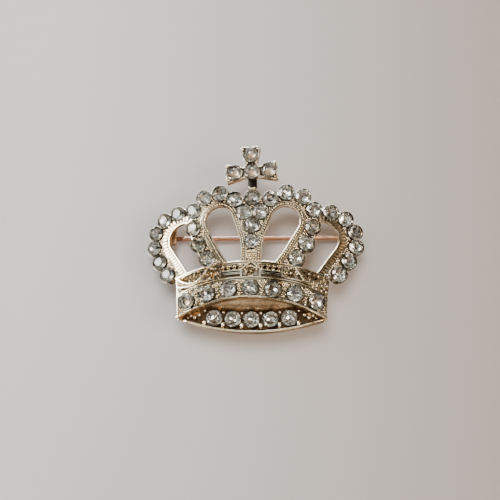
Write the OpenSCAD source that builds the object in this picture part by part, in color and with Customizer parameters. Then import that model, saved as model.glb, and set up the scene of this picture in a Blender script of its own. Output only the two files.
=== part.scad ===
// A crown brooch: a domed openwork casting set with round stones, a recessed gallery strip,
// a cross finial on a neck, and a pin stem with its hinge and its turning safety catch.
// Millimetres. +Z is up the crown, -Y is the front, and the origin is at the middle of the
// pin stem, on its axis. Inside the modules the layout is drawn with z = 0 near the lower
// corners of the band and y = 0 at the foremost line of the dome; placed() moves it home.

/* [Dome] */
// Radius of the upright cylinder that the front follows
dome_r = 50; // [48:1:60]
// Thickness of the openwork casting
cast_t = 1.8; // [1.6:0.1:2.0]

/* [Stones] */
// Diameter of every full-size stone at its girdle
stone_d = 3.0; // [2.8:0.05:3.05]
// Height of a stone's crown above its girdle
crown_h = 0.55; // [0.4:0.05:0.6]
// Depth of a stone's pavilion below its girdle
pavilion_h = 1.15; // [0.9:0.05:1.25]
// Outer diameter of the cup that holds a stone
cup_d = 3.4; // [3.35:0.05:3.5]

/* [Arches] */
// Radius of the row of stones over an inner arch
inner_row_r = 5.4; // [5.3:0.05:5.6]
// Radius of the row of stones over an outer arch
outer_row_r = 5.55; // [5.45:0.05:5.7]
// Radius of the row of stones down a rib
rib_row_r = 15.05; // [14.9:0.05:15.2]

/* [Band] */
// Half of the band's width at its lower corners
band_half_w = 14.9; // [14.7:0.1:15.2]
// Height of the band at its middle, from its lower edge to its top edge
band_h = 7.5; // [7.3:0.1:7.7]
// How far the band stands in front of the arches
band_proud = 0.35; // [0.25:0.05:0.5]

/* [Gallery strip] */
// Distance between neighbouring stones of the lower row
gallery_pitch = 3.78; // [3.6:0.02:3.9]
// Thickness of the strip's plate
gallery_t = 0.9; // [0.7:0.1:1.0]

/* [Cross] */
// Distance from the cross's middle to the end of a side arm
arm_len = 5.3; // [5.2:0.1:5.5]
// Lean of the cross about the foot of its neck, in degrees
cross_lean = 4; // [0:1:5]
// Thickness of the cross
cross_t = 1.5; // [1.5:0.1:1.7]

/* [Pin and catch] */
// Diameter of the pin stem
stem_d = 0.9; // [0.8:0.05:0.95]
// Length of the stem's straight part
stem_len = 31.2; // [30:0.2:31.6]
// Play around the hinge rivet and the catch's rotor
running_play = 0.03; // [0.02:0.01:0.05]
// Play between a stone and its cup
seat_play = 0.04; // [0.03:0.01:0.06]

/* [Hidden] */
$fn = 64;
eps = 0.01;

// Names NAME1 to NAMEn, with a leading zero where n has two digits.
function numbered(name, n) = [for (i = [1:n]) str(name, n > 9 && i < 10 ? "0" : "", i)];

// Colours of the pale gold plating, the warmer metal of the pin, and the clear stones.
plating = "#d9c6a0";
pin_metal = "#cfa98a";
crystal = "#eef2f4";

// The pin stem's axis, in the layout: its height, and its depth behind the dome's front line.
stem_z = 17.9;
stem_y = 8;

function on_arc(c, r, a) = [c[0] + r * cos(a), c[1] + r * sin(a)];
function mirrored(p, side) = [side * p[0], p[1]];

// Rows of stones on the right half. Each row is an arc: its centre, then angles along it.
inner_row_c = [7.35, 20.0];
outer_row_c = [15.35, 16.1];
tail_row = [[19.3, 11.7], [17.4, 8.9]];
scallop_row = concat(
    [for (i = [0:3]) on_arc(inner_row_c, inner_row_r, 133 - 37.2 * i)],
    [for (i = [0:3]) on_arc(outer_row_c, outer_row_r, 86 - 33 * i)],
    tail_row);
rib_row_c = [-2.6, 21.2];
rib_row = [for (i = [1:3]) on_arc(rib_row_c, rib_row_r, 2.9 - 14.1 * i)];

// The five stones of the centre post, from the top one down to the smallest.
post_row = [[0, 24.25], [-1.65, 21.25], [1.65, 21.25], [0, 18.4], [0, 15.0]];
post_scale = [1, 1, 1, 1, 0.86];

// How far a stone's girdle and its cup's rim stand in front of the face that they are on,
// and how far the cup's foot stands behind the casting.
girdle_out = 0.35;
cup_out = 0.5;
cup_back = 0.1;

// The rest of the arches' body on the right half, from the band round to the tail row.
arch_body = [[15.3, 7.6], [8, 9], [-1, 9], [-1, 24.2], [3.6, 24.2], [12, 22.4], [14.9, 21.8],
             [20.8, 14.8]];

// Windows on the right half: the round head of each, and where its sides run down to.
inner_window_c = [6.8, 19.6];
inner_window_r = 2.9;
inner_window_foot = [[2.85, 17.1], [2.2, 15.2], [2.1, 13.2], [2.1, 10], [4.65, 10]];
outer_window_c = [14.1, 16.2];
outer_window_r = 3.3;
outer_window_foot = [[9.6, 8.6], [12.9, 8.6], [13.5, 9.6]];

// The band's top edge and its row of stones share one low centre, and its lower edge curves
// a little more, so that its corners dip.
band_mid_z = 3.6;
band_c = [0, -29.9];
band_top_r = band_mid_z - band_c[1] + band_h;
band_low_r = 30.1;
band_low_c = [0, band_mid_z - band_low_r];
band_row_r = 35.35;
band_row_step = 7.15;
band_row_n = 7;
band_end = [[15.6, 8.1], [15.35, 7.2], [15.1, 5], [band_half_w, -1]];
band_back_r = dome_r - cast_t - 0.2;

// The gallery strip is a flat plate behind the band, with a lip along its lower arc.
gallery_y = 4.1;
gallery_low_r = 43.5;
gallery_low_c = [0, 40.6];
gallery_top_r = 35.2;
gallery_half_w = 14.5;
gallery_row_r = 85;
gallery_row_z = -0.25;
gallery_row_n = 5;
gallery_girdle_y = 3.0;
lip_t = 0.6;
lip_front_y = 2.7;
lip_top_z = 0.6;
bead_r = 0.42;
bead_drop = 1.5;

// The cross, about its own middle.
cross_z = 29.85;
neck_w = 1.8;
neck_foot_z = 25.2;
arm_root = [1.1, 1.5];
arm_end_half_w = 2;
top_arm_len = 5.6;
cross_stone_at = [[0, 3.7], [-3.6, 0.1], [0, 0], [3.6, 0.1]];
cross_stone_scale = 0.92;
cross_girdle_y = -0.25;

// The pads on the casting's back: where they start, where they end, and their outlines.
pad_root_y = 5.2;
pad_y = 6.5;
hinge_pad = [-20.3, 3.7, 3.4];
catch_pad = [17.7, 2.8, 3];

// The hinge, at the left.
hinge_x = -18;
eye_r = 0.9;
eye_t = 1.1;
nib_len = 1.0;
nib_t = 0.2;
heel_t = 0.8;
bracket_t = 0.5;
ear_t = 0.45;
ear_r = 1.1;
ear_gap = eye_t / 2 + 0.05;
rivet_r = 0.35;
rivet_head_r = 0.6;
rivet_head_t = 0.25;
point_x = 21.4;
point_r = 0.06;

// The catch, at the right.
catch_x = 18.1;
catch_w = 2;
housing_r = 1.55;
housing_slot = 1.5;
rotor_r = 1.05;
rotor_bore_r = 0.5;
rotor_side_play = 0.05;
flange_r = 1.3;
flange_t = 0.4;
lever_w = 0.8;
lever_tip = 2.7;

// Moves the layout so that the middle of the stem is at the origin.
module placed() translate([0, -stem_y, -stem_z]) children();

// Puts children on the dome at p = [x, z], with their +Z out of the front and +Y up.
module on_dome(p) {
    translate([p[0], dome_r - sqrt(dome_r * dome_r - p[0] * p[0]), p[1]])
        rotate([0, 0, asin(p[0] / dome_r)])
            rotate([90, 0, 0])
                children();
}

// Puts children at p = [x, z] on an upright plane at depth y, facing the front.
module on_plane(p, y) translate([p[0], y, p[1]]) rotate([90, 0, 0]) children();

// A cylinder that lies along X and starts at x.
module along_x(x, r, len) translate([x, 0, 0]) rotate([0, 90, 0]) cylinder(r = r, h = len);

// A flat outline in x and z, as a slab from depth y0 back to y1.
module slab(y0, y1) translate([0, y1, 0]) rotate([90, 0, 0]) linear_extrude(y1 - y0) children();

// The part of an outline that lies in the dome, between two radii.
module in_dome(r_out, r_in) {
    intersection() {
        slab(-2, 9) children();
        dome_ring(r_out, r_in);
    }
}

module dome_ring(r_out, r_in) {
    translate([0, dome_r, -10])
        difference() {
            cylinder(r = r_out, h = 50, $fn = 180);
            translate([0, 0, -1]) cylinder(r = r_in, h = 52, $fn = 180);
        }
}

// A round stone about its girdle, with its table towards +Z.
module stone(s = 1) {
    r = s * stone_d / 2;
    rotate_extrude()
        polygon([[0, -s * pavilion_h], [0.12, -s * pavilion_h], [r, -0.12], [r, 0.05],
                 [0.6 * r, s * crown_h], [0, s * crown_h]]);
}

// The hollow that a stone drops into, open at the front.
module seat(s = 1) {
    r = s * stone_d / 2 + seat_play;
    rotate_extrude()
        polygon([[0, -s * pavilion_h - seat_play], [0.15, -s * pavilion_h - seat_play],
                 [r, -0.12 - seat_play], [r, 2], [0, 2]]);
}

module cup(s = 1) {
    depth = cast_t + cup_back;
    translate([0, 0, -depth]) cylinder(d = s * cup_d, h = depth + cup_out);
}

// A place on the band's row of stones, which stands further out than the arches' rows.
module band_place(i) {
    a = 90 - band_row_step * (i - (band_row_n - 1) / 2);
    on_dome(on_arc(band_c, band_row_r, a)) translate([0, 0, band_proud + girdle_out]) children();
}

module inner_window() {
    polygon(concat(
        [for (a = [-28:13.5:161]) on_arc(inner_window_c, inner_window_r, a)],
        inner_window_foot));
}

// The outer window's inner side follows the row of stones down the rib.
module outer_window() {
    polygon(concat(
        [for (a = [-38:17:98]) on_arc(outer_window_c, outer_window_r, a)],
        [for (a = [-8:-9:-44]) on_arc(rib_row_c, rib_row_r + 0.9, a)],
        outer_window_foot));
}

module arches_outline() {
    for (side = [0, 1])
        mirror([side, 0])
            difference() {
                union() {
                    translate(inner_row_c) circle(r = inner_row_r, $fn = 96);
                    translate(outer_row_c) circle(r = outer_row_r, $fn = 96);
                    polygon(concat(arch_body, tail_row));
                }
                inner_window();
                outer_window();
            }
}

module band_outline() {
    intersection() {
        difference() {
            translate(band_c) circle(r = band_top_r, $fn = 256);
            translate(band_low_c) circle(r = band_low_r, $fn = 256);
        }
        polygon(concat(
            [[0, 12]], band_end,
            [for (i = [len(band_end) - 1:-1:0]) mirrored(band_end[i], -1)]));
    }
}

// A flat pad on the casting's back, given as its left edge, width and height.
module pad(at) {
    translate([at[0], pad_root_y, stem_z - at[2] / 2]) cube([at[1], pad_y - pad_root_y, at[2]]);
}

// The openwork casting: arches, ribs, centre post and band, with a cup for each stone.
module crown_casting() {
    color(plating)
        placed()
            difference() {
                union() {
                    in_dome(dome_r, dome_r - cast_t) arches_outline();
                    in_dome(dome_r + band_proud, band_back_r) band_outline();
                    for (side = [-1, 1], p = concat(scallop_row, rib_row))
                        on_dome(mirrored(p, side)) cup();
                    for (i = [0:len(post_row) - 1])
                        on_dome(post_row[i]) cup(post_scale[i]);
                    pad(hinge_pad);
                    pad(catch_pad);
                }
                for (side = [-1, 1], p = concat(scallop_row, rib_row))
                    on_dome(mirrored(p, side)) translate([0, 0, girdle_out]) seat();
                for (i = [0:len(post_row) - 1])
                    on_dome(post_row[i]) translate([0, 0, girdle_out]) seat(post_scale[i]);
                for (i = [0:band_row_n - 1])
                    band_place(i) seat();
            }
}

function gallery_z(x) = gallery_row_z + x * x / (2 * gallery_row_r);

module gallery_place(i) {
    x = gallery_pitch * (i - (gallery_row_n - 1) / 2);
    on_plane([x, gallery_z(x)], gallery_girdle_y) children();
}

// The plate's outline is a lens, whose upper part is hidden behind the band.
module gallery_outline() {
    intersection() {
        translate(gallery_low_c) circle(r = gallery_low_r, $fn = 256);
        translate(band_c) circle(r = gallery_top_r, $fn = 256);
        translate([-gallery_half_w, -5]) square([2 * gallery_half_w, 12]);
    }
}

// The plate and its lip, trimmed where the tips lie against the back of the band.
module gallery_plate() {
    difference() {
        union() {
            slab(gallery_y, gallery_y + gallery_t) gallery_outline();
            slab(lip_front_y, gallery_y + eps)
                difference() {
                    gallery_outline();
                    translate(gallery_low_c) circle(r = gallery_low_r - lip_t, $fn = 256);
                    translate([-20, lip_top_z]) square([40, 12]);
                }
        }
        dome_ring(dome_r + 5, band_back_r);
    }
}

// A round-ended prong in the lower gap beside a stone of the gallery row.
module gallery_bead(x) {
    reach = gallery_y - gallery_girdle_y + 0.3;
    on_plane([x, gallery_z(x) - bead_drop], gallery_y) {
        cylinder(r = bead_r, h = reach, $fn = 24);
        translate([0, 0, reach]) sphere(r = bead_r, $fn = 24);
    }
}

// The recessed strip under the band: its plate, lip, stone cups and the beads between them.
module gallery_strip() {
    cup_len = gallery_y - gallery_girdle_y + eps;
    color(plating)
        placed()
            difference() {
                union() {
                    gallery_plate();
                    for (i = [0:gallery_row_n - 1])
                        gallery_place(i)
                            translate([0, 0, -cup_len]) cylinder(d = cup_d, h = cup_len + 0.1);
                    for (i = [0:gallery_row_n])
                        gallery_bead(gallery_pitch * (i - gallery_row_n / 2));
                }
                for (i = [0:gallery_row_n - 1])
                    gallery_place(i) seat();
            }
}

// One flared arm of the cross, pointing up from the middle.
module arm(len) {
    polygon([[-arm_root[0], 0], arm_root * [[-1, 0], [0, 1]], [-arm_end_half_w, len - 0.35],
             [0.3 - arm_end_half_w, len], [0, len - 0.15], [arm_end_half_w - 0.3, len],
             [arm_end_half_w, len - 0.35], arm_root, [arm_root[0], 0]]);
}

module cross_outline() {
    circle(d = cross_stone_scale * cup_d);
    arm(top_arm_len);
    rotate(90) arm(arm_len);
    rotate(-90) arm(arm_len);
    translate([-neck_w / 2, neck_foot_z - cross_z]) square([neck_w, cross_z - neck_foot_z]);
}

// Puts children at the cross's middle, leaned about the foot of the neck.
module on_cross() {
    translate([0, 0, neck_foot_z])
        rotate([0, -cross_lean, 0])
            translate([0, 0, cross_z - neck_foot_z])
                children();
}

// The cross, with its foot cut to sit like a saddle on the middle cup of the scallop.
module cross_finial() {
    color(plating)
        placed()
            difference() {
                on_cross() {
                    slab(0, cross_t) cross_outline();
                    on_plane([0, 0], cross_t / 2)
                        cylinder(d = cross_stone_scale * cup_d, h = cross_t / 2 + cup_out);
                }
                on_cross()
                    for (p = cross_stone_at)
                        on_plane(p, cross_girdle_y) seat(cross_stone_scale);
                on_dome(post_row[0]) translate([0, 0, -5]) cylinder(d = cup_d, h = 10);
            }
}

// A folded bracket: a plate on its pad, and two ears that the rivet crosses.
module hinge_bracket() {
    plate_h = 2 * (ear_gap + ear_t);
    color(plating)
        placed()
            translate([hinge_x, 0, stem_z])
                difference() {
                    union() {
                        translate([-2.2, pad_y, -plate_h / 2]) cube([3.5, bracket_t, plate_h]);
                        for (z = [ear_gap, -ear_gap - ear_t])
                            translate([0, 0, z]) {
                                translate([0, stem_y, 0]) cylinder(r = ear_r, h = ear_t);
                                translate([-ear_r, pad_y + eps, 0])
                                    cube([2 * ear_r, stem_y - pad_y, ear_t]);
                            }
                    }
                    translate([0, stem_y, -3]) cylinder(r = rivet_r, h = 6);
                }
}

// The rivet is tight in the ears, and the stem's eye turns on it.
module hinge_rivet() {
    half = ear_gap + ear_t;
    color(pin_metal)
        translate([hinge_x, 0, 0]) {
            translate([0, 0, -half]) cylinder(r = rivet_r, h = 2 * half);
            for (z = [half, -half - rivet_head_t])
                translate([0, 0, z]) cylinder(r = rivet_head_r, h = rivet_head_t);
        }
}

// The stem: a flat eye with a nib and a square heel, the straight wire, and the long point.
// The nib comes down on the bracket's plate and stops the open pin at about 78 degrees.
module pin_stem() {
    half = stem_len / 2;
    color(pin_metal) {
        difference() {
            union() {
                translate([hinge_x, 0, -eye_t / 2]) cylinder(r = eye_r, h = eye_t);
                translate([hinge_x - nib_len, -nib_t / 2, -eye_t / 2])
                    cube([nib_len, nib_t, eye_t]);
                translate([hinge_x, -heel_t / 2, -heel_t / 2])
                    cube([0.3 - half - hinge_x, heel_t, heel_t]);
                along_x(-half, stem_d / 2, stem_len);
                translate([half, 0, 0])
                    rotate([0, 90, 0])
                        cylinder(r1 = stem_d / 2, r2 = point_r, h = point_x - half);
            }
            translate([hinge_x, 0, -2]) cylinder(r = rivet_r + running_play, h = 4);
        }
    }
}

// The catch's fixed part: a ring with a slot at the back, on a foot that stands on its pad.
module catch_housing() {
    foot_y = pad_y - stem_y;
    color(plating)
        difference() {
            union() {
                along_x(catch_x, housing_r, catch_w);
                translate([catch_x, foot_y, -1.2]) cube([catch_w, 0.9, 2.4]);
            }
            along_x(catch_x - 1, rotor_r + running_play, catch_w + 2);
            translate([catch_x - 1, 0, -housing_slot / 2]) cube([catch_w + 2, 3, housing_slot]);
            translate([catch_x - 1, foot_y - 3, -3]) cube([catch_w + 2, 3, 6]);
        }
}

// The catch's turning part: a slotted barrel between two flanges, with a lever at its end.
module catch_rotor() {
    x0 = catch_x - rotor_side_play;
    x1 = catch_x + catch_w + rotor_side_play;
    color(plating)
        difference() {
            union() {
                along_x(x0 - flange_t, flange_r, flange_t);
                along_x(x0, rotor_r, x1 - x0);
                along_x(x1, flange_r, flange_t);
                translate([x1, -lever_w / 2, -lever_tip]) cube([flange_t, lever_w, lever_tip]);
            }
            along_x(x0 - 1, rotor_bore_r, x1 - x0 + 2);
            translate([x0 - 1, 0, -rotor_bore_r]) cube([x1 - x0 + 2, 3, 2 * rotor_bore_r]);
        }
}

// One stone of a row on the dome, on the side given.
module dome_stone(p, s = 1) {
    color(crystal) placed() on_dome(p) translate([0, 0, girdle_out]) stone(s);
}

module band_stone(i) color(crystal) placed() band_place(i) stone();

module gallery_stone(i) color(crystal) placed() gallery_place(i) stone();

module cross_stone(i) {
    color(crystal)
        placed()
            on_cross()
                on_plane(cross_stone_at[i], cross_girdle_y) stone(cross_stone_scale);
}

crown_casting();
gallery_strip();
cross_finial();
hinge_bracket();
hinge_rivet();
pin_stem();
catch_housing();
catch_rotor();
for (i = [0:9]) {
    left = numbered("scallop_stone_l", 10)[i];
    right = numbered("scallop_stone_r", 10)[i];
    dome_stone(mirrored(scallop_row[i], -1));
    dome_stone(scallop_row[i]);
}
for (i = [0:2]) {
    dome_stone(mirrored(rib_row[i], -1));
    dome_stone(rib_row[i]);
}
for (i = [0:4])
    dome_stone(post_row[i], post_scale[i]);
for (i = [0:6])
    band_stone(i);
for (i = [0:4])
    gallery_stone(i);
for (i = [0:3])
    cross_stone(i);
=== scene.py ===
"""A crown brooch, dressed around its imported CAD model.

The front is worked out in the flat, as layout millimetres (x, z, h): x to the right, z up the
crown, h out of the face. Surface functions such as dome() bend it onto the real shape.
"""

import math
import random

import bpy
from mathutils import Matrix, Vector
from mathutils.geometry import delaunay_2d_cdt


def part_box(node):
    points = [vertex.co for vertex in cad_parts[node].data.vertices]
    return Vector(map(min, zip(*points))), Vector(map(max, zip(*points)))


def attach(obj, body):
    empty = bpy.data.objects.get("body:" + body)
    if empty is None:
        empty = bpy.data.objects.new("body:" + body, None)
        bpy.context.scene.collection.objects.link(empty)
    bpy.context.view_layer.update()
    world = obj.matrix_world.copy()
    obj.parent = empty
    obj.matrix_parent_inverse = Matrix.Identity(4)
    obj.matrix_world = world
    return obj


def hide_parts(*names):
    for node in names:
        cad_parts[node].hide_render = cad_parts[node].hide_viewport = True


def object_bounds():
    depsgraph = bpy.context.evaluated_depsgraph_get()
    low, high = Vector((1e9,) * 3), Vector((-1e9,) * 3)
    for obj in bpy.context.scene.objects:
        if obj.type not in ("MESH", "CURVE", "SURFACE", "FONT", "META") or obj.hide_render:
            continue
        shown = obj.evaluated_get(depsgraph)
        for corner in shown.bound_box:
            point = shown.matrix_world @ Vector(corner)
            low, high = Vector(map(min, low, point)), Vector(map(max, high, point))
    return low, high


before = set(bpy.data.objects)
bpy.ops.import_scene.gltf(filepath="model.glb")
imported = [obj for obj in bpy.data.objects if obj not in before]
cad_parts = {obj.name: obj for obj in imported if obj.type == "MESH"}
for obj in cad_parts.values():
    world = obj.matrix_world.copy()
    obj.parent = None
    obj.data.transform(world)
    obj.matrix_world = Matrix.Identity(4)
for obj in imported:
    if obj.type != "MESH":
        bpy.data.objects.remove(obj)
cad_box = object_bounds()
random.seed(7)

# The layout. These values are the CAD model's: lengths in millimetres, and SMALL_STONE a scale.
MM = 0.001
ORIGIN = Vector((0, 8, 17.9))
DOME_R = 50
CAST_T = 1.8
BACK_R = DOME_R - CAST_T - 0.2
BAND_PROUD = 0.35
GIRDLE_OUT = 0.35
CROWN_H = 0.55
PAVILION_H = 1.15
CUP_R = 1.7
SMALL_STONE = 0.86

SCALLOP_L = [f"scallop_stone_l{i:02d}" for i in range(1, 11)]
SCALLOP_R = [f"scallop_stone_r{i:02d}" for i in range(1, 11)]
RIBS = [f"rib_stone_{side}{i}" for side in "lr" for i in (1, 2, 3)]
POST = [f"post_stone_{i}" for i in range(1, 6)]
BAND = [f"band_stone_{i}" for i in range(1, 8)]
GALLERY = [f"gallery_stone_{i}" for i in range(1, 6)]
CROSS = [f"cross_stone_{i}" for i in range(1, 5)]
ARCHES = SCALLOP_L + SCALLOP_R + RIBS + POST

INNER_WINDOW_C = (6.8, 19.6)
INNER_WINDOW_R = 2.9
INNER_FOOT = [(2.85, 17.1), (2.2, 15.2), (2.1, 13.2), (2.1, 10), (4.65, 10)]
OUTER_WINDOW_C = (14.1, 16.2)
OUTER_WINDOW_R = 3.3
OUTER_FOOT = [(9.6, 8.6), (12.9, 8.6), (13.5, 9.6)]
RIB_ROW_C = (-2.6, 21.2)
RIB_ROW_R = 15.05
BAND_C = (0, -29.9)
BAND_TOP_R = 41.0
BAND_LOW_C = (0, -26.5)
BAND_LOW_R = 30.1
BAND_HALF_W = 14.9
GALLERY_Y = 4.1
GALLERY_T = 0.9
GALLERY_LOW_C = (0, 40.6)
GALLERY_LOW_R = 43.5
GALLERY_TOP_R = 35.2
GALLERY_ROW_R = 85
GALLERY_GIRDLE_Y = 3.0
LIP_FRONT_Y = 2.7
CROSS_Z = 29.85
CROSS_FOOT_Z = 25.2
CROSS_LEAN = math.radians(4)
CROSS_T = 1.5
CROSS_AT = [(0, 3.7), (-3.6, 0.1), (0, 0), (3.6, 0.1)]
CROSS_GIRDLE_OUT = 0.25
ARM_ROOT = (1.1, 1.5)
ARM_HALF_W = 2.0

# These values are the visual's own, for what CAD leaves plain or has in another size. Lengths are
# in millimetres, and CROSS_STONE is a scale.
STONE_R = 1.57
CROSS_STONE = 1.0
FACETS = 8
PIT_R = 1.6
CROSS_PIT_R = 1.55
BAND_RIM_R = 1.75
ARCH_RIM_R = 1.78
LIP_T = 0.34
FRONT_T = 0.6
UNDERCUT = 0.75
FLOOR_H = -0.05
CRESCENT_H = -0.5
WIRE_H = 0.07
GRAIN_H = 0.1
CLAW_H = 0.34
FLOWER_H = 0.18
MIDLINE_C = (0, -36.3)
MIDLINE_R = 44.0
MIDLINE_DIP = 0.11
DIP_FROM_X = 9.6
RIBBED_FROM_X = 12.6
SLOTS_FROM_X = 1.9
SLOTS_TO_X = 6.1
SCROLL_TURNS = 1.2
ROW_STEP = 0.87


# ---------------------------------------------------------------- surfaces and small geometry

def dome(x, z, h):
    """A point h in front of the dome that the front follows."""
    a = math.asin(max(-1, min(1, x / DOME_R)))
    r = DOME_R + h
    return Vector((r * math.sin(a), DOME_R - r * math.cos(a), z))


def upright(y):
    """An upright plane at depth y."""
    return lambda x, z, h: Vector((x, y - h, z))


def cross_plane(x, z, h):
    """The cross's front face, where x and z are counted from its middle."""
    dz = z + CROSS_Z - CROSS_FOOT_Z
    c, s = math.cos(CROSS_LEAN), math.sin(CROSS_LEAN)
    return Vector((x * c - dz * s, -h, CROSS_FOOT_Z + x * s + dz * c))


def normal_at(surface, x, z, h):
    """The direction out of a surface."""
    return (surface(x, z, h + 0.1) - surface(x, z, h)).normalized()


def arc(c, r, a0, a1, n):
    """n + 1 points on an arc, from angle a0 to a1 in degrees."""
    step = math.radians(a1 - a0) / n
    a = math.radians(a0)
    turns = [a + i * step for i in range(n + 1)]
    return [(c[0] + r * math.cos(t), c[1] + r * math.sin(t)) for t in turns]


def over(c, r, x):
    """Height of the circle's upper side at x."""
    return c[1] + math.sqrt(r * r - (x - c[0]) ** 2)


def spaced(first, step, n):
    """n numbers from first on, a step apart."""
    return [first + step * i for i in range(n)]


def sided(s, points):
    """The points as they are when s is 1, and on the other side of the middle when it is -1."""
    return [(s * x, z) for x, z in points]


def mirror(points):
    """The points on the other side of the middle, in reverse, so that a loop keeps its sense."""
    return [(-p[0],) + tuple(p[1:]) for p in reversed(points)]


def rounded(points, closed):
    """Cuts the corners off a polyline, twice over."""
    for _ in range(2):
        out = [] if closed else [points[0]]
        pairs = zip(points, points[1:] + points[:1]) if closed else zip(points, points[1:])
        for p, q in pairs:
            out.append(tuple(0.75 * a + 0.25 * b for a, b in zip(p, q)))
            out.append(tuple(0.25 * a + 0.75 * b for a, b in zip(p, q)))
        points = out if closed else out + [points[-1]]
    return points


def evenly(points, step, closed=False):
    """Points every step along a polyline."""
    line = [Vector(p) for p in points]
    if closed:
        line.append(line[0])
    lengths = [(b - a).length for a, b in zip(line, line[1:])]
    total = sum(lengths)
    n = max(2, round(total / step))
    out, i, run = [], 0, 0.0
    for k in range(n if closed else n + 1):
        s = total * k / n
        while i < len(lengths) - 1 and run + lengths[i] < s:
            run += lengths[i]
            i += 1
        t = min(1, (s - run) / max(lengths[i], 1e-9))
        out.append(tuple(line[i].lerp(line[i + 1], t)))
    return out


def offset(points, d, closed=True):
    """A polyline moved d to its right-hand side, which is outwards on a counterclockwise loop."""
    out = []
    n = len(points)
    for i, p in enumerate(points):
        a = points[i - 1] if closed or i else p
        b = points[(i + 1) % n] if closed or i < n - 1 else p
        t = Vector((b[0] - a[0], b[1] - a[1])).normalized()
        out.append((p[0] + t[1] * d, p[1] - t[0] * d))
    return out


def inside(p, loops):
    """Whether p lies inside an odd number of closed loops."""
    hit = False
    for loop in loops:
        for a, b in zip(loop, loop[1:] + loop[:1]):
            if (a[1] > p[1]) != (b[1] > p[1]):
                if p[0] < a[0] + (b[0] - a[0]) * (p[1] - a[1]) / (b[1] - a[1]):
                    hit = not hit
    return hit


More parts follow.
